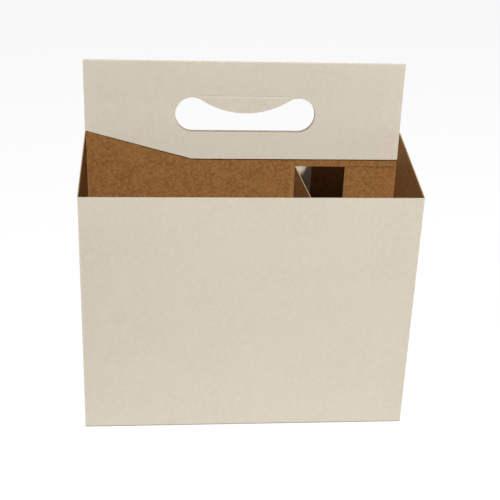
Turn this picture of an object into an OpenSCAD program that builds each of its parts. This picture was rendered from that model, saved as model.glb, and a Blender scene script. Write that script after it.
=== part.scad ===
// Bottle carrier with six cells, die cut from one sheet of coated board, folded and glued.
// X runs along the carrier, the front wall faces -Y, and the base stands on Z = 0.
// The back half is the front half's mirror image, and the base joins the two.

/* [Body] */
// Length over the end walls
body_l = 197; // [180:1:220]
// Width over the front and back walls
body_w = 132; // [120:1:150]
// Height of the front and back walls
wall_h = 149; // [125:1:175]
// Rise of an end wall's top edge, from the corner to the partition
end_rise = 21.5; // [8:0.5:30]
// Cells along each side of the partition
cells = 3; // [2:1:4]

/* [Board] */
// Thickness of the board
board_t = 0.5; // [0.4:0.05:0.7]
// Outer radius of a fold
fold_r = 1; // [0.9:0.1:1.6]
// Width of a pressed score line
score_w = 1; // [0.6:0.1:1.6]
// Depth of a pressed score line
score_d = 0.12; // [0.06:0.02:0.2]

/* [Handle] */
// Height of the handle's folded edge above the front and back walls
handle_rise = 64.5; // [58:0.5:85]
// Length of the hand hole
hole_l = 86.6; // [78:0.2:100]
// Height of the hand hole at its end lobes
hole_h = 21; // [18:0.5:25]
// Distance of the hand hole below the handle's folded edge
hole_drop = 22; // [18:0.5:26]
// Drop of the finger flap below the top of the hand hole
finger_drop = 9.5; // [7:0.5:12]
// Distance from a lobe's centre to the end of the finger flap's score line
crease_inset = 7.5; // [3:0.5:12]
// Height of the finger flap's score line above the hand hole
crease_rise = 1; // [0:0.5:4]
// Height of the bare strip between the top window and the cover ply
strip_h = 5; // [3:0.5:9]
// Length of the slanted stretch of the cover ply's lower edge
knee_run = 65.5; // [40:0.5:90]
// Height over which the handle's plies close up, above the glue flaps
close_run = 20; // [12:1:26]

/* [Dividers] */
// Drop of the highest divider below the top of the walls
divider_drop = 0.8; // [0:0.2:6]
// Height of the web between one window of the partition and the next
window_web = 12; // [8:1:20]
// Height of the web under the lowest window
foot_web = 18; // [12:1:26]
// Length of a divider's glue tab along the wall
tab_l = 22.5; // [14:0.5:30]
// Length of the glue flap that ties an end wall to the partition
flap_l = 33.5; // [22:0.5:44]
// Gap between the partition's free edge and the end wall
edge_gap = 0.3; // [0.2:0.1:1]

/* [Hidden] */
$fn = 64;

// How far a cutter runs past the board that it cuts
cut = 2;

// Outer faces of the walls, and the heights that follow from the driving sizes
x_end = body_l / 2;
y_wall = body_w / 2;
end_h = wall_h + end_rise;
handle_h = wall_h + handle_rise;
cap_z = handle_h - board_t;

// Plies in front of the middle plane, counted from it: glue flap, partition, cover
FLAP = 0;
PANEL = 1;
COVER = 2;
panel_right = x_end - board_t - edge_gap;

// Dividers climb from the left end to the right end, one above the other
cell_l = body_l / cells;
divider_top = wall_h - divider_drop;
divider_h = (divider_top - foot_web - (cells - 2) * window_web) / (cells - 1);
divider_run = y_wall - 2 * board_t - 2 * fold_r;
fold_length = PI / 2 * (fold_r - board_t / 2);
divider_blank_l = 2 * fold_length + divider_run + tab_l - fold_r;
cover_low = divider_top + strip_h;

// The hand hole's lobes, and the finger flap's arc that runs into both lobes
lobe_r = hole_h / 2;
lobe_x = hole_l / 2 - lobe_r;
hole_top = handle_h - hole_drop;
lobe_z = hole_top - lobe_r;
crease_z = hole_top + crease_rise;
finger_rise = lobe_r - finger_drop;
finger_r = (lobe_x ^ 2 + finger_rise ^ 2 - lobe_r ^ 2) / (2 * finger_drop);
finger_z = lobe_z + finger_rise + finger_r;
touch = lobe_r / (lobe_r + finger_r);

// How far a ply lies back at a height: the flaps spread the plies, and the handle closes them up
function ply_shift(z) = board_t * min(max((z - end_h) / close_run, 0), 1);
function ply_back(ply, z) = ply_shift(z) - ply * board_t;
function ply_front(ply, z) = ply_back(ply, z) - board_t;
function divider_x(k) = k * cell_l - x_end;
function divider_z(k) = foot_web + (k - 1) * (divider_h + window_web);

// Stands a plan outline up between two heights
module upright(bottom, top) {
    translate([0, 0, bottom])
        linear_extrude(top - bottom)
            children();
}

// Draws an outline of Y and Z along X
module along_x(left, right) {
    translate([left, 0, 0])
        rotate([90, 0, 90])
            linear_extrude(right - left)
                children();
}

// Cuts one ply of the partition or the handle to an outline of X and Z
module ply(number) {
    heights = [fold_r, end_h, end_h + close_run, cap_z];
    intersection() {
        along_x(-x_end, panel_right)
            polygon(concat(
                [for (z = heights) [ply_front(number, z), z]],
                [for (i = [len(heights) - 1:-1:0]) [ply_back(number, heights[i]), heights[i]]]
            ));
        rotate([90, 0, 0])
            linear_extrude(8 * board_t, center = true)
                children();
    }
}

// A quarter fold, whose outer faces would meet at the corner that out points to
module fold(corner, out) {
    translate(corner - fold_r * out)
        intersection() {
            difference() {
                circle(fold_r);
                circle(fold_r - board_t);
            }
            translate([min(out.x, 0), min(out.y, 0)] * fold_r)
                square(fold_r);
        }
}

// A score line pressed into a face along X, pointing into the board along +Y
module score(length) {
    along_x(-length / 2, length / 2)
        polygon([[-score_d, -score_w], [-score_d, score_w], [score_d, 0]]);
}

// Section of the base, with the folds that carry the front and back walls
module base_section() {
    fold([-y_wall, 0], [-1, -1]);
    fold([y_wall, 0], [1, -1]);
    translate([fold_r - y_wall, 0])
        square([body_w - 2 * fold_r, board_t]);
}

module base() {
    difference() {
        along_x(fold_r - x_end, x_end - fold_r)
            base_section();
        rotate([90, 0, 0])
            score(body_l - 4 * fold_r);
    }
}

// Plan of the front wall, the end walls' front halves and the glue flap
module wall_plan() {
    translate([fold_r - x_end, -y_wall])
        square([body_l - 2 * fold_r, board_t]);
    fold([-x_end, -y_wall], [-1, -1]);
    fold([x_end, -y_wall], [1, -1]);
    translate([-x_end, fold_r - y_wall])
        square([board_t, y_wall - 2 * fold_r - board_t]);
    translate([x_end - board_t, fold_r - y_wall])
        square([board_t, y_wall - 2 * fold_r]);
    fold([-x_end, ply_back(PANEL, 0)], [-1, 1]);
    fold([x_end, ply_back(FLAP, 0)], [1, 1]);
    translate([x_end - flap_l, ply_front(FLAP, 0)])
        square([flap_l - fold_r, board_t]);
}

// What is trimmed off above the walls: level over the front wall, rising to the partition
module wall_trim() {
    slope = end_rise / (y_wall - fold_r);
    polygon([
        [-y_wall - cut, wall_h],
        [fold_r - y_wall, wall_h],
        [cut, end_h + slope * cut],
        [cut, end_h + end_rise],
        [-y_wall - cut, end_h + end_rise]
    ]);
}

module walls() {
    difference() {
        upright(fold_r, end_h + cut)
            wall_plan();
        along_x(-x_end - cut, x_end + cut)
            wall_trim();
    }
}

// Two round lobes joined along the bottom, with the finger flap hanging between them
module hand_hole() {
    difference() {
        union() {
            for (side = [-1, 1])
                translate([side * lobe_x, lobe_z])
                    circle(lobe_r);
            polygon([
                [-lobe_x, lobe_z - lobe_r],
                [lobe_x, lobe_z - lobe_r],
                [lobe_x * (1 - touch), lobe_z + touch * (finger_rise + finger_r)],
                [-lobe_x * (1 - touch), lobe_z + touch * (finger_rise + finger_r)]
            ]);
        }
        translate([0, finger_z])
            circle(finger_r);
    }
}

// The window that a divider leaves in the partition, up to the partition's free edge
module divider_window(k) {
    left = divider_x(k) + board_t / 2 - fold_r;
    right = min(left + divider_blank_l, x_end);
    translate([left, divider_z(k)])
        square([right - left, divider_h]);
}

module partition() {
    ply(PANEL)
        difference() {
            union() {
                translate([fold_r - x_end, fold_r])
                    square([panel_right + x_end - fold_r, cap_z - fold_r]);
                translate([-x_end, end_h])
                    square([panel_right + x_end, cap_z - end_h]);
            }
            hand_hole();
            for (k = [1:cells - 1])
                divider_window(k);
        }
}

// The white ply, folded over the partition's top edge down to a stepped lower edge
module cover() {
    difference() {
        ply(COVER)
            difference() {
                polygon([
                    [-x_end, cap_z],
                    [-x_end, end_h],
                    [knee_run - x_end, cover_low],
                    [panel_right, cover_low],
                    [panel_right, cap_z]
                ]);
                hand_hole();
            }
        translate([0, ply_front(COVER, crease_z), crease_z])
            score(2 * (lobe_x - crease_inset));
    }
    along_x(-x_end, panel_right)
        translate([ply_front(PANEL, cap_z), cap_z])
            difference() {
                circle(board_t);
                translate([-cut, -2 * cut])
                    square(2 * cut);
            }
}

// A strap cut from the partition, folded out to the wall, with its tab glued along it
module divider(k) {
    left = divider_x(k) - board_t / 2;
    wall_face = board_t - y_wall;
    upright(divider_z(k), divider_z(k) + divider_h) {
        fold([left + board_t, ply_back(PANEL, 0)], [1, 1]);
        translate([left, wall_face + fold_r])
            square([board_t, divider_run]);
        fold([left, wall_face], [-1, -1]);
        translate([left + fold_r, wall_face])
            square([tab_l - fold_r, board_t]);
    }
}

module half() {
    walls();
    partition();
    cover();
    for (k = [1:cells - 1])
        divider(k);
}

module carrier() {
    color([0.83, 0.79, 0.73]) {
        half();
        mirror([0, 1, 0])
            half();
        base();
    }
}

carrier();
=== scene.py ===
"""A bottle carrier of coated board, folded up panel by panel from one sheet.

The sheet is modelled by its white outer face, which is then thickened inwards, so that
the white coat, the bare kraft back and the cut edges each have their own finish.
"""
import math

import bmesh
import bpy
from mathutils import Matrix, Vector


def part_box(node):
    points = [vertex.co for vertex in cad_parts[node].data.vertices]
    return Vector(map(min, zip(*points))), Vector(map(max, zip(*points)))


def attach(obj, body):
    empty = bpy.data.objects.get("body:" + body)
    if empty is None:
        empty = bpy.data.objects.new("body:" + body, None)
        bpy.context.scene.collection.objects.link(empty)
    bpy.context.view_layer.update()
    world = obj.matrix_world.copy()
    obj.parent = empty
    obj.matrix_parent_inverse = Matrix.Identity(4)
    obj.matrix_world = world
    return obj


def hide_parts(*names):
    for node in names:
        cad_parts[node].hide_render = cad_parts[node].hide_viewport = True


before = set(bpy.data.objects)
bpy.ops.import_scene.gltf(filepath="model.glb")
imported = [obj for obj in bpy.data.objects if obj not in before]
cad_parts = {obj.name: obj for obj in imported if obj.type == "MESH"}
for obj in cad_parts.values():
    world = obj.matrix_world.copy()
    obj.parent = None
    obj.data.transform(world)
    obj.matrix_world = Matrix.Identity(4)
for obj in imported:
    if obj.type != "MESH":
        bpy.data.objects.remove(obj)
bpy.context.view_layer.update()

MM = 0.001
_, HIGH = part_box("carrier")

# Outer sizes of the carrier, from the frame
X_END = HIGH.x
Y_WALL = HIGH.y
HANDLE_H = HIGH.z

# The board, its folds and its pressed scores
BOARD = 0.5 * MM
FOLD_R = 1.0 * MM
FOLD_STEPS = 6
GLUE = 0.04 * MM
SCORE_W = 1.0 * MM
SCORE_D = 0.12 * MM

# The walls, level along the front and sloped at the ends
WALL_H = 149 * MM
END_H = 170.5 * MM
END_SLOPE = (END_H - WALL_H) / (Y_WALL - FOLD_R)

# Plies at the middle of the carrier, each placed by its white face
FLAP_Y = -0.03 * MM
FLAP_L = 33.5 * MM
FLAP_LEFT = X_END - FLAP_L
PANEL_Y = FLAP_Y - BOARD - GLUE
EDGE_GAP = 0.3 * MM
PANEL_RIGHT = X_END - BOARD - EDGE_GAP
PLY_STEP = FLAP_Y - PANEL_Y

# Heights over which the plies close up above the end walls
CLOSE_RUN = 20 * MM
CLOSE_ROWS = 5
CLOSE_HEIGHTS = [END_H + CLOSE_RUN * row / CLOSE_ROWS for row in range(CLOSE_ROWS + 1)]

# The cover, folded over the handle's top edge, whose free lower edge lifts off the partition
CAP_R = BOARD + GLUE / 2
CAP_Z = HANDLE_H - CAP_R
COVER_Y = FLAP_Y - 2 * CAP_R
COVER_LOW = 153.2 * MM
KNEE_RUN = 65.5 * MM
KNEE_X = KNEE_RUN - X_END
LIFT = 0.6 * MM
LIFT_TOP = END_H + CLOSE_RUN
LIFT_ROWS = 4
LIFT_STEP = (END_H - COVER_LOW) / LIFT_ROWS
LIFT_HEIGHTS = [END_H - LIFT_STEP * row for row in range(1, LIFT_ROWS + 1)]

# Dividers cut from the partition, a lower one on the left and an upper one on the right
DIVIDER_TOP = 148.2 * MM
FOOT_WEB = 18 * MM
WINDOW_WEB = 12 * MM
DIVIDER_H = (DIVIDER_TOP - FOOT_WEB - WINDOW_WEB) / 2
TAB = 22.5 * MM
DIVIDER_BLANK = 86.86 * MM
CELLS = 3
CELL = 2 * X_END / CELLS
LOWER_DIVIDER = (CELL - X_END, FOOT_WEB)
UPPER_DIVIDER = (2 * CELL - X_END, FOOT_WEB + DIVIDER_H + WINDOW_WEB)
DIVIDERS = (LOWER_DIVIDER, UPPER_DIVIDER)

# The bead that the scoring rule leaves beside a divider's hinge
BEAD_W = 1.2 * MM
BEAD_H = 0.2 * MM
BEAD_BACK = 0.6 * MM
BEAD_STEPS = 4

# The hand hole and its finger flap
HOLE_DROP = 22 * MM
HOLE_TOP = HANDLE_H - HOLE_DROP
HOLE_L = 86.6 * MM
HOLE_CUT = 6 * MM
LOBE_R = 10.5 * MM
LOBE_X = HOLE_L / 2 - LOBE_R
LOBE_Z = HOLE_TOP - LOBE_R
LOBE_STEPS = 48
FINGER_DROP = 9.5 * MM
FINGER_RISE = LOBE_R - FINGER_DROP
FINGER_R = (LOBE_X ** 2 + FINGER_RISE ** 2 - LOBE_R ** 2) / (2 * FINGER_DROP)
FINGER_Z = LOBE_Z + FINGER_RISE + FINGER_R
FINGER_STEPS = 40
CREASE_INSET = 7.5 * MM
CREASE_X = LOBE_X - CREASE_INSET
CREASE_RISE = 1 * MM
CREASE_Z = HOLE_TOP + CREASE_RISE
CREASE_LIP = 0.1 * MM
CREASE_SLOPE = 0.72 * MM
CREASE_D = 0.22 * MM
CREASE_FADE = 3 * MM

# How near a point counts as in place, how fine a cut is, and which corners are shaded smooth
NEAR = 0.01 * MM
CUT_TOLERANCE = 1e-7
SMOOTH_ANGLE = math.radians(16)


# Tools for modelling
def select_only(piece):
    """Makes a piece the only one that the next operator acts on."""
    bpy.ops.object.select_all(action="DESELECT")
    piece.select_set(True)
    bpy.context.view_layer.objects.active = piece


def new_plane(name, size, place):
    """Adds a level square, with nothing else selected."""
    bpy.ops.object.select_all(action="DESELECT")
    bpy.ops.mesh.primitive_plane_add(size=size, location=place)
    piece = bpy.context.object
    piece.name = name
    return piece


def settle():
    """Moves the selected piece's place, turn and scale into its mesh."""
    bpy.ops.object.transform_apply(location=True, rotation=True, scale=True)


def finish_with(piece, kind, **settings):
    """Adds a modifier to a piece and applies it."""
    modifier = piece.modifiers.new(kind.title(), kind)
    for name, value in settings.items():
        setattr(modifier, name, value)
    select_only(piece)
    bpy.ops.object.modifier_apply(modifier=modifier.name)


def start_edit(piece):
    """Opens a piece for editing by its vertices."""
    select_only(piece)
    bpy.ops.object.mode_set(mode="EDIT")
    bpy.ops.mesh.select_mode(type="VERT")


def end_edit():
    bpy.ops.object.mode_set(mode="OBJECT")


def near(value, target):
    return abs(value - target) < NEAR


def between(value, low, high):
    return low - NEAR < value < high + NEAR


def pick_all():
    bpy.ops.mesh.select_all(action="SELECT")


def pick(test):
    """Selects the open piece's points by place, with the edges and faces between them."""
    bpy.ops.mesh.select_mode(type="VERT")
    bpy.ops.mesh.select_all(action="DESELECT")
    mesh = bpy.context.object.data
    bm = bmesh.from_edit_mesh(mesh)
    for point in bm.verts:
        point.select_set(test(point.co))
    bm.select_flush_mode()
    bmesh.update_edit_mesh(mesh)


def pick_faces(test):
    """Selects the open piece's faces by the place of their middles."""
    bpy.ops.mesh.select_mode(type="FACE")
    bpy.ops.mesh.select_all(action="DESELECT")
    mesh = bpy.context.object.data
    bm = bmesh.from_edit_mesh(mesh)
    for face in bm.faces:
        if test(face.calc_center_median()):
            face.select_set(True)
    bmesh.update_edit_mesh(mesh)


def draw_out(x=0.0, y=0.0, z=0.0):
    """Extrudes what is picked straight on."""
    bpy.ops.mesh.extrude_region_move(TRANSFORM_OT_translate={"value": (x, y, z)})


def turn(centre, axis, degrees, steps=FOLD_STEPS):
    """Carries the picked edge round a fold, right-handed about the axis."""
    bpy.ops.mesh.spin(steps=steps, angle=-math.radians(degrees), center=centre, axis=axis)


def shift(x=0.0, y=0.0, z=0.0):
    bpy.ops.transform.translate(value=(x, y, z))


def cut(point, normal, drop=False):
    """Cuts the picked faces along a plane, and drops what lies beyond it if asked."""
    bpy.ops.mesh.bisect(plane_co=point, plane_no=normal, clear_outer=drop, threshold=CUT_TOLERANCE)


# The front half of the sheet, panel by panel
def front_wall():
    """A plane between the front wall's folds, cut in rows at the dividers' edges."""
    width = 2 * (X_END - FOLD_R)
    height = WALL_H - FOLD_R
    wall = new_plane("carrier_sheet", size=1, place=(0, -Y_WALL, FOLD_R + height / 2))
    wall.rotation_euler = (math.pi / 2, 0, 0)
    wall.scale = (width, height, 1)
    settle()
    start_edit(wall)
    for _, low in DIVIDERS:
        for z in (low, low + DIVIDER_H):
            pick_all()
            cut((0, 0, z), (0, 0, 1))
    return wall


def end_wall(side, seam_y):
    """Folds half an end wall back from the front wall, slopes its top and turns its seam."""
    x = side * X_END
    fold_x = side * (X_END - FOLD_R)
    corner_y = FOLD_R - Y_WALL
    seam_start = seam_y - FOLD_R
    pick(lambda co: near(co.x, fold_x) and near(co.y, -Y_WALL))
    turn((fold_x, corner_y, 0), (0, 0, 1), side * 90)
    draw_out(y=seam_start - corner_y)
    pick(lambda co: near(co.x, x) and near(co.z, WALL_H) and co.y > corner_y - NEAR)
    draw_out(z=END_H - WALL_H)
    pick(lambda co: near(co.x, x) and co.z > WALL_H - NEAR)
    cut((x, 0, END_H), (0, -END_SLOPE, 1), drop=True)
    pick(lambda co: near(co.x, x) and near(co.y, seam_start))
    turn((fold_x, seam_start, 0), (0, 0, 1), side * 90)


def glue_flap():
    """Runs the right end wall's seam on into the flap that is glued behind the partition."""
    draw_out(x=FLAP_LEFT - (X_END - FOLD_R))


def hinge_of(divider_x):
    """Where the partition's flat ends and a divider's fold begins."""
    return divider_x + BOARD / 2 - FOLD_R


def partition():
    """Runs the left end wall's seam on into the partition, with the dividers' windows."""
    at = FOLD_R - X_END
    hinges = [hinge_of(x) for x, _ in DIVIDERS]
    for stop in (*hinges, hinges[0] + DIVIDER_BLANK, PANEL_RIGHT):
        draw_out(x=stop - at)
        at = stop
    for x, low in DIVIDERS:
        left = hinge_of(x)
        pick_faces(
            lambda co: near(co.y, PANEL_Y)
            and left < co.x < left + DIVIDER_BLANK
            and low < co.z < low + DIVIDER_H
        )
        bpy.ops.mesh.delete(type="FACE")


def divider(x, low):
    """Folds a divider out of its window to the front wall, with its tab along the wall."""
    hinge = hinge_of(x)
    white = hinge + FOLD_R
    tab_y = -Y_WALL + 2 * BOARD + GLUE
    tab_r = FOLD_R - BOARD
    pick(
        lambda co: near(co.x, hinge)
        and near(co.y, PANEL_Y)
        and between(co.z, low, low + DIVIDER_H)
    )
    turn((hinge, PANEL_Y - FOLD_R, 0), (0, 0, 1), -90)
    draw_out(y=tab_y + tab_r - (PANEL_Y - FOLD_R))
    turn((white + tab_r, tab_y + tab_r, 0), (0, 0, 1), 90)
    draw_out(x=TAB - FOLD_R)


def ply_shift(z):
    """How far the plies have closed up at a height, eased in and out."""
    share = min(max((z - END_H) / CLOSE_RUN, 0), 1)
    return PLY_STEP * (3 * share ** 2 - 2 * share ** 3)


def cover_y(z):
    """Where the cover's white face lies at a height, lifting off towards its free edge."""
    share = min(max((LIFT_TOP - z) / (LIFT_TOP - COVER_LOW), 0), 1)
    return COVER_Y - PLY_STEP + ply_shift(z) - LIFT * share ** 2


def follow(heights, place):
    """Draws the picked edge through the heights, moving it along Y by its place at each."""
    for start, stop in zip(heights, heights[1:]):
        draw_out(y=place(stop) - place(start), z=stop - start)


def handle():
    """Draws the partition up into the handle, out to its left edge."""
    seam_top = END_H + END_SLOPE * (PANEL_Y - FOLD_R)
    pick(lambda co: near(co.y, PANEL_Y) and near(co.z, seam_top))
    follow([seam_top, *CLOSE_HEIGHTS, CAP_Z], ply_shift)
    pick(
        lambda co: near(co.x, FOLD_R - X_END)
        and co.z > END_H - NEAR
        and co.y > PANEL_Y - NEAR
    )
    draw_out(x=-FOLD_R)


def on_cover(co):
    """Whether a point lies on the cover's white face."""
    return co.z > COVER_LOW - NEAR and near(co.y, cover_y(co.z))


def cover():
    """Folds the white ply over the handle's top edge, down to its stepped lower edge."""
    pick(lambda co: near(co.z, CAP_Z) and near(co.y, FLAP_Y))
    turn((0, FLAP_Y - CAP_R, CAP_Z), (1, 0, 0), 180, steps=2 * FOLD_STEPS)
    follow([CAP_Z, *reversed(CLOSE_HEIGHTS), *LIFT_HEIGHTS], cover_y)
    slant = (END_H - COVER_LOW) / KNEE_RUN
    pick(on_cover)
    cut((KNEE_X, 0, COVER_LOW), (-slant, 0, -1), drop=True)
    for x in (-CREASE_X - CREASE_FADE, -CREASE_X, CREASE_X, CREASE_X + CREASE_FADE):
        pick(on_cover)
        cut((x, 0, 0), (1, 0, 0))
    for z in (CREASE_Z - CREASE_SLOPE, CREASE_Z, CREASE_Z + CREASE_LIP):
        pick(on_cover)
        cut((0, 0, z), (0, 0, 1))


def base():
    """Folds half the base under as far as the middle score, and runs it on under the end walls."""
    pick(
        lambda co: near(co.z, FOLD_R)
        and near(co.y, -Y_WALL)
        and abs(co.x) < X_END - FOLD_R + NEAR
    )
    turn((0, FOLD_R - Y_WALL, FOLD_R), (1, 0, 0), 90)
    draw_out(y=Y_WALL - FOLD_R - SCORE_W / 2)
    draw_out(y=SCORE_W / 2)
    for side in (1, -1):
        pick(lambda co: near(co.x, side * (X_END - FOLD_R)) and near(co.z, 0))
        draw_out(x=side * (FOLD_R - GLUE))


def bead_columns():
    """Places and heights of the columns that make up a hinge's bead."""
    for step in range(BEAD_STEPS + 1):
        share = step / BEAD_STEPS
        yield (share - 1) * BEAD_W - BEAD_BACK, BEAD_H * math.sin(math.pi * share)


def cut_bead(x, low):
    """Cuts the columns of a hinge's bead into the partition."""
    hinge = hinge_of(x)
    high = low + DIVIDER_H
    for offset, _ in bead_columns():
        pick(
            lambda co: near(co.y, PANEL_Y)
            and co.x < hinge + NEAR
            and between(co.z, low, high)
        )
        cut((hinge + offset, 0, 0), (1, 0, 0))
    for z in (low + BEAD_W / 2, high - BEAD_W / 2):
        pick(
            lambda co: near(co.y, PANEL_Y)
            and between(co.x, hinge - BEAD_W - BEAD_BACK, hinge - BEAD_BACK)
            and between(co.z, low, high)
        )
        cut((0, 0, z), (0, 0, 1))


def folded_half():
    """The front half of the sheet, by its white face."""
    sheet = front_wall()
    end_wall(1, FLAP_Y)
    glue_flap()
    end_wall(-1, PANEL_Y)
    partition()
    for x, low in DIVIDERS:
        divider(x, low)
    handle()
    cover()
    base()
    for x, low in DIVIDERS:
        cut_bead(x, low)
    end_edit()
    return sheet


# The whole sheet
def face_outwards(sheet):
    """Turns the sheet's faces so that the white side points outwards."""
    start_edit(sheet)
    pick_all()
    bpy.ops.mesh.normals_make_consistent(inside=False)
    end_edit()
    front = min(sheet.data.polygons, key=lambda face: face.center.y)
    if front.normal.y > 0:
        start_edit(sheet)
        pick_all()
        bpy.ops.mesh.flip_normals()
        end_edit()


def thicken(sheet):
    """Thickens the sheet inwards, with the second finish inside and the third on its edges."""
    finish_with(
        sheet,
        "SOLIDIFY",
        thickness=BOARD,
        offset=-1,
        use_even_offset=True,
        use_quality_normals=True,
        material_offset=1,
        material_offset_rim=2,
    )


def raise_bead(x, low):
    """Raises a hinge's bead on the kraft side of both halves."""
    hinge = hinge_of(x)
    kraft_y = PANEL_Y - BOARD
    for side in (1, -1):
        for offset, height in bead_columns():
            pick(
                lambda co: near(co.y, side * kraft_y)
                and near(co.x, hinge + offset)
                and between(co.z, low + BEAD_W / 2, low + DIVIDER_H - BEAD_W / 2)
            )
            shift(y=-side * height)


def press_scores():
    """Presses the finger flap's crease into both covers, and the score along the base."""
    for side in (1, -1):
        pick(
            lambda co: near(co.y, side * COVER_Y)
            and near(co.z, CREASE_Z)
            and abs(co.x) < CREASE_X + NEAR
        )
        shift(y=side * CREASE_D)
    pick(lambda co: near(co.z, 0) and near(co.y, 0))
    shift(z=SCORE_D)


def hand_hole_cutter():
    """The hand hole's outline, walked round in arcs, as a prism through the handle."""
    lean = math.degrees(math.atan2(FINGER_Z - LOBE_Z, LOBE_X))
    across = (0, -1, 0)
    cutter = new_plane("hand_hole_cutter", size=1, place=(0, 0, 0))
    start_edit(cutter)
    pick_all()
    bpy.ops.mesh.merge(type="CENTER")
    pick_all()
    shift(x=-LOBE_X, y=-HOLE_CUT / 2, z=LOBE_Z - LOBE_R)
    draw_out(x=2 * LOBE_X)
    turn((LOBE_X, 0, LOBE_Z), across, 270 - lean, steps=LOBE_STEPS)
    turn((0, 0, FINGER_Z), across, 2 * lean - 180, steps=FINGER_STEPS)
    turn((-LOBE_X, 0, LOBE_Z), across, 270 - lean, steps=LOBE_STEPS)
    pick_all()
    bpy.ops.mesh.remove_doubles(threshold=NEAR)
    pick_all()
    bpy.ops.mesh.edge_face_add()
    draw_out(y=HOLE_CUT)
    pick_all()
    bpy.ops.mesh.normals_make_consistent(inside=False)
    end_edit()
    return cutter


def punch_hand_hole(sheet, plies):
    """Cuts the hand hole through all the handle's plies."""
    cutter = hand_hole_cutter()
    cutter.data.materials.append(plies)
    finish_with(
        sheet,
        "BOOLEAN",
        operation="DIFFERENCE",
        object=cutter,
        solver="EXACT",
        material_mode="TRANSFER",
    )
    bpy.data.objects.remove(cutter)


def mark_folds(sheet):
    """Marks the faces of the rounded folds, for the wear that the coat shows there and the painted
    highlight on the kraft side.
    """
    flat = 0.999
    fold = sheet.data.attributes.new("fold", "FLOAT", "FACE")
    for face in sheet.data.polygons:
        fold.data[face.index].value = float(max(abs(c) for c in face.normal) < flat)


def carrier_sheet(coat, back, edge, plies):
    """The whole sheet: the front half and its mirror image, thickened and cut through."""
    sheet = folded_half()
    finish_with(sheet, "MIRROR", use_axis=(False, True, False), merge_threshold=NEAR)
    face_outwards(sheet)
    for material in (coat, back, edge):
        sheet.data.materials.append(material)
    thicken(sheet)
    start_edit(sheet)
    for x, low in DIVIDERS:
        raise_bead(x, low)
    press_scores()
    end_edit()
    punch_hand_hole(sheet, plies)
    mark_folds(sheet)
    bpy.ops.object.shade_smooth_by_angle(angle=SMOOTH_ANGLE)
    finish_with(sheet, "WEIGHTED_NORMAL", weight=100, keep_sharp=True)
    return sheet


# Tools for the finishes
def new_material(name):
    material = bpy.data.materials.new(name)
    material.use_nodes = True
    tree = material.node_tree
    coords = tree.nodes.new("ShaderNodeTexCoord").outputs["Object"]
    return material, tree, tree.nodes["Principled BSDF"], coords


def feed(tree, socket, value):
    """Gives a socket a colour, a number or a pattern."""
    if isinstance(value, tuple):
        socket.default_value = (*value, 1)
    elif isinstance(value, float):
        socket.default_value = value
    else:
        tree.links.new(value, socket)


def surface(tree, shader, colour, roughness, gloss):
    """Sets a finish's colour, roughness and gloss, each a pattern or a fixed value."""
    feed(tree, shader.inputs["Base Color"], colour)
    feed(tree, shader.inputs["Roughness"], roughness)
    feed(tree, shader.inputs["Specular IOR Level"], gloss)


def noise(tree, coords, scale, detail=3.0, roughness=0.5, distortion=0.0):
    """A noise pattern, whose scale is its number of lumps in a metre."""
    node = tree.nodes.new("ShaderNodeTexNoise")
    node.inputs["Scale"].default_value = scale
    node.inputs["Detail"].default_value = detail
    node.inputs["Roughness"].default_value = roughness
    node.inputs["Distortion"].default_value = distortion
    tree.links.new(coords, node.inputs["Vector"])
    return node.outputs["Fac"]


def spread(tree, value, low=0.0, high=1.0, to_low=0.0, to_high=1.0):
    """Maps a range of a pattern to another range, and holds it there."""
    node = tree.nodes.new("ShaderNodeMapRange")
    tree.links.new(value, node.inputs["Value"])
    node.inputs["From Min"].default_value = low
    node.inputs["From Max"].default_value = high
    node.inputs["To Min"].default_value = to_low
    node.inputs["To Max"].default_value = to_high
    return node.outputs["Result"]


def combine(tree, operation, first, second):
    """Works out one pattern from two, or from one and a number."""
    node = tree.nodes.new("ShaderNodeMath")
    node.operation = operation
    for socket, value in zip(node.inputs, (first, second)):
        feed(tree, socket, value)
    return node.outputs["Value"]


def weaken(tree, pattern, share):
    """Keeps a share of a pattern's strength."""
    return combine(tree, "MULTIPLY", pattern, share)


def blend(tree, share, first, second):
    """Mixes two colours, each a pattern or a fixed colour, by a pattern."""
    node = tree.nodes.new("ShaderNodeMix")
    node.data_type = "RGBA"
    tree.links.new(share, node.inputs["Factor"])
    for name, value in (("A_Color", first), ("B_Color", second)):
        socket = next(s for s in node.inputs if s.identifier == name)
        feed(tree, socket, value)
    return next(s for s in node.outputs if s.identifier == "Result_Color")


def fibres(tree, coords, scale, width):
    """Short curled hairs: the contour lines of one noise, broken up by a finer one."""
    contour = 0.5
    finer = 1.7
    field = noise(tree, coords, scale, detail=1.0, distortion=0.6)
    off_line = combine(tree, "ABSOLUTE", combine(tree, "SUBTRACT", field, contour), 0.0)
    line = spread(tree, off_line, high=width, to_low=1.0, to_high=0.0)
    breaks = spread(tree, noise(tree, coords, scale * finer, detail=0.0), low=0.52, high=0.6)
    return combine(tree, "MULTIPLY", line, breaks)


def on_folds(tree):
    """1 on the rounded folds and 0 on the flats."""
    node = tree.nodes.new("ShaderNodeAttribute")
    node.attribute_name = "fold"
    return node.outputs["Fac"]


def bump(tree, shader, height, depth):
    """Roughens a finish by a pattern, to a depth."""
    node = tree.nodes.new("ShaderNodeBump")
    node.inputs["Distance"].default_value = depth
    tree.links.new(height, node.inputs["Height"])
    tree.links.new(node.outputs["Normal"], shader.inputs["Normal"])


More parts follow.
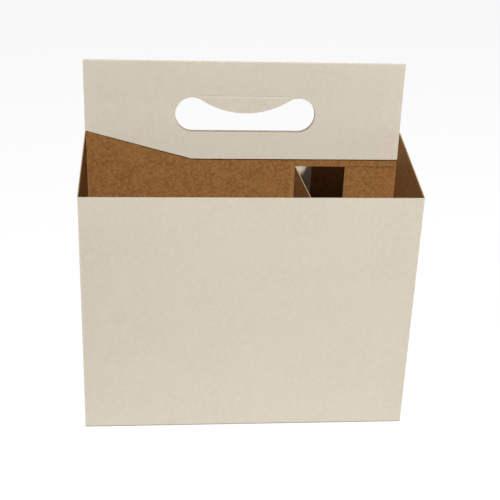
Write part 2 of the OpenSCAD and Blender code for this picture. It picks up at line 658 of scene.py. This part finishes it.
# Finishes of the board
COAT_PALE = (0.645, 0.585, 0.481)
COAT = (0.622, 0.562, 0.458)
COAT_DIM = (0.606, 0.545, 0.442)
COAT_FIBRE = (0.560, 0.480, 0.365)
COAT_SCUFF = (0.580, 0.500, 0.390)
KRAFT_DARK = (0.177, 0.069, 0.0138)
KRAFT_DIM = (0.191, 0.0755, 0.016)
KRAFT = (0.223, 0.093, 0.0215)
KRAFT_PALE = (0.313, 0.145, 0.0405)
# Pale hairs in the kraft, also the colour of the painted highlight on its folds and beads
KRAFT_HAIR_AND_HIGHLIGHT = (0.361, 0.193, 0.069)
EDGE_DARK = (0.340, 0.215, 0.105)
EDGE_PALE = (0.560, 0.430, 0.280)
# The hand hole's cut through four plies: pulp colour darkened by painted shade of the gaps between
# the plies
PLIES_SHADED_DARK = (0.120, 0.078, 0.050)
PLIES_SHADED_PALE = (0.230, 0.165, 0.115)


def white_clay_coat():
    """Matt clay coat: faint clouds and tooth, fibres showing through, and scuffed folds."""
    material, tree, shader, coords = new_material("white_clay_coat")
    clouds = spread(tree, noise(tree, coords, scale=35.0, detail=4.0), low=0.35, high=0.65)
    tooth = noise(tree, coords, scale=1100.0, detail=4.0, roughness=0.6)
    grain = noise(tree, coords, scale=430.0, roughness=0.6)
    colour = blend(tree, clouds, COAT_DIM, COAT)
    colour = blend(tree, spread(tree, grain, low=0.4, high=0.7), colour, COAT_PALE)
    hairs = weaken(tree, fibres(tree, coords, scale=420.0, width=0.012), share=0.25)
    colour = blend(tree, hairs, colour, COAT_FIBRE)
    rubs = noise(tree, coords, scale=260.0, detail=5.0, roughness=0.7)
    rubbed = spread(tree, rubs, low=0.5, high=0.68, to_high=0.5)
    scuffs = combine(tree, "MULTIPLY", rubbed, on_folds(tree))
    colour = blend(tree, scuffs, colour, COAT_SCUFF)
    matt = spread(tree, tooth, low=0.3, high=0.7, to_low=0.5, to_high=0.62)
    surface(tree, shader, colour, roughness=matt, gloss=0.35)
    bump(tree, shader, tooth, depth=0.02 * MM)
    return material


def bare_kraft_back():
    """Unbleached kraft: mottled pulp with dark and pale hairs, and a painted highlight on the
    rounded folds and the hinges' beads.
    """
    material, tree, shader, coords = new_material("bare_kraft_back")
    clouds = spread(tree, noise(tree, coords, scale=90.0), low=0.35, high=0.65)
    mottle = noise(tree, coords, scale=640.0, detail=4.0, roughness=0.56)
    colour = blend(tree, clouds, KRAFT_DIM, KRAFT)
    colour = blend(tree, spread(tree, mottle, low=0.38, high=0.65), colour, KRAFT_PALE)
    pale = weaken(tree, fibres(tree, coords, scale=330.0, width=0.018), share=0.5)
    colour = blend(tree, pale, colour, KRAFT_HAIR_AND_HIGHLIGHT)
    dark = weaken(tree, fibres(tree, coords, scale=250.0, width=0.014), share=0.55)
    colour = blend(tree, dark, colour, KRAFT_DARK)
    # Painted highlight: the kraft is made paler on the folds and beads, where they would catch the
    # light
    fold_highlight = weaken(tree, on_folds(tree), share=0.5)
    colour = blend(tree, fold_highlight, colour, KRAFT_HAIR_AND_HIGHLIGHT)
    surface(tree, shader, colour, roughness=0.85, gloss=0.3)
    bump(tree, shader, mottle, depth=0.06 * MM)
    return material


def cut_edge(name, dark, pale):
    """Die-cut edge of torn pulp."""
    material, tree, shader, coords = new_material(name)
    pulp = noise(tree, coords, scale=1600.0, detail=4.0, roughness=0.7)
    colour = blend(tree, spread(tree, pulp, low=0.35, high=0.65), dark, pale)
    surface(tree, shader, colour, roughness=0.95, gloss=0.2)
    bump(tree, shader, pulp, depth=0.05 * MM)
    return material


# Floor and surroundings
WHITE = (1, 1, 1)
FLOOR_SIZE = 8
FLOOR_GAP = 0.1 * MM
FLOOR_GREY = 0.16
FLOOR_BOUNCE = 0.03
FLOOR_LIFT = 0.92
AMBIENT = 0.05


def where_seen(tree, seen, unseen):
    """One value for rays from the camera, mirrored or through glass, and another for the rest."""
    path = tree.nodes.new("ShaderNodeLightPath")
    shown = combine(tree, "MAXIMUM", path.outputs["Is Camera Ray"], path.outputs["Is Glossy Ray"])
    shown = combine(tree, "MAXIMUM", shown, path.outputs["Is Transmission Ray"])
    return spread(tree, shown, to_low=unseen, to_high=seen)


def floor():
    """A plain floor that shows white, apart from the carrier's shadow."""
    ground = new_plane("floor", size=FLOOR_SIZE, place=(0, 0, -FLOOR_GAP))
    settle()
    material, tree, shader, _ = new_material("white_floor")
    grey = where_seen(tree, FLOOR_GREY, FLOOR_BOUNCE)
    surface(tree, shader, grey, roughness=1.0, gloss=0.0)
    feed(tree, shader.inputs["Emission Color"], WHITE)
    feed(tree, shader.inputs["Emission Strength"], where_seen(tree, FLOOR_LIFT, 0.0))
    ground.data.materials.append(material)


def studio_world():
    """White where it is seen, and an even soft light elsewhere."""
    world = bpy.data.worlds.new("studio")
    bpy.context.scene.world = world
    world.use_nodes = True
    tree = world.node_tree
    sky = tree.nodes["Background"]
    feed(tree, sky.inputs["Color"], WHITE)
    feed(tree, sky.inputs["Strength"], where_seen(tree, 1.0, AMBIENT))


# Lamps
SUN_ANGLE = math.radians(2)
GLOW_H = 1 * MM
FACE_UP = (math.pi, 0, 0)


def aimed(course):
    """The turn that points a lamp along a course."""
    return Vector(course).to_track_quat("-Z", "Y").to_euler()


def hang(name, light, turned, place=(0, 0, 0)):
    """Puts a lamp in the scene, turned to where it shines."""
    lamp = bpy.data.objects.new(name, light)
    bpy.context.scene.collection.objects.link(lamp)
    lamp.location = place
    lamp.rotation_euler = turned
    return lamp


def sun(name, course, level):
    """A far lamp without gloss, which lights a surface that faces it to a level."""
    light = bpy.data.lights.new(name, "SUN")
    light.energy = level * math.pi
    light.angle = SUN_ANGLE
    lamp = hang(name, light, aimed(course))
    lamp.visible_glossy = False


def panel(name, place, aim, level, size):
    """A square lamp that lights a facing surface at its aim to a level."""
    reach = Vector(aim) - Vector(place)
    light = bpy.data.lights.new(name, "AREA")
    light.energy = level * math.pi ** 2 * reach.length_squared
    light.size = size
    hang(name, light, aimed(reach), place)


def glow(name, middle, length, width, level):
    """A lamp that lies face up and unseen on the floor, as bright as the level."""
    light = bpy.data.lights.new(name, "AREA")
    light.shape = "RECTANGLE"
    light.size = length
    light.size_y = width
    light.energy = level * math.pi * length * width
    lamp = hang(name, light, FACE_UP, (*middle, GLOW_H))
    lamp.visible_camera = False


def studio_lamps():
    """A key and a fill in front, light off the floor, and level suns on the back and the ends."""
    panel("key", place=(-0.09, -1.05, 1.0), aim=(0.95, -0.066, 0.1), level=0.84, size=0.06)
    panel("left_fill", place=(-0.75, -1.0, 0.95), aim=(0, -0.066, 0.1), level=0.065, size=0.6)
    glow("front_bounce", middle=(0.15, -0.146), length=0.58, width=0.16, level=0.6)
    glow("back_bounce", middle=(0, 0.236), length=0.5, width=0.33, level=0.9)
    glow("left_bounce", middle=(-0.27, 0.05), length=0.33, width=0.23, level=0.8)
    glow("right_bounce", middle=(0.27, 0.05), length=0.33, width=0.23, level=0.8)
    sun("back_fill", course=(0, -1, 0), level=0.58)
    sun("left_end_fill", course=(1, 0, 0), level=0.5)
    sun("right_end_fill", course=(-1, 0, 0), level=0.5)


# Camera, in the photograph's pixels, metres and radians
IMAGE = 500
FOCAL_PX = 883.39
CENTRE_PX = (230, 240)
SENSOR_MM = 36
CAMERA_PLACE = Vector((-52.436, -534.797, 306.995)) * MM
CAMERA_YAW = -0.0844
CAMERA_DOWN = 0.3719
CAMERA_ROLL = -0.0297
CAMERA_NEAREST = 10 * MM


def camera():
    """The photograph's viewpoint, fitted to the carrier's corners."""
    data = bpy.data.cameras.new("camera")
    data.sensor_width = SENSOR_MM
    data.lens = FOCAL_PX / IMAGE * SENSOR_MM
    data.shift_x = (IMAGE / 2 - CENTRE_PX[0]) / IMAGE
    data.shift_y = (CENTRE_PX[1] - IMAGE / 2) / IMAGE
    data.clip_start = CAMERA_NEAREST
    eye = bpy.data.objects.new("camera", data)
    bpy.context.scene.collection.objects.link(eye)
    turned = (
        Matrix.Rotation(CAMERA_YAW, 4, "Z")
        @ Matrix.Rotation(math.pi / 2 - CAMERA_DOWN, 4, "X")
        @ Matrix.Rotation(-CAMERA_ROLL, 4, "Z")
    )
    eye.matrix_world = Matrix.Translation(CAMERA_PLACE) @ turned
    bpy.context.scene.camera = eye


sheet = carrier_sheet(
    white_clay_coat(),
    bare_kraft_back(),
    cut_edge("cut_board_edge", EDGE_DARK, EDGE_PALE),
    # The hand hole's edge, darker than the board's other cut edges by painted shade between its
    # plies
    cut_edge("cut_plies_edge_painted_shade", PLIES_SHADED_DARK, PLIES_SHADED_PALE),
)
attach(sheet, "root")
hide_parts("carrier")

floor()
studio_world()
studio_lamps()
camera()
bpy.context.scene.view_settings.view_transform = "Standard"
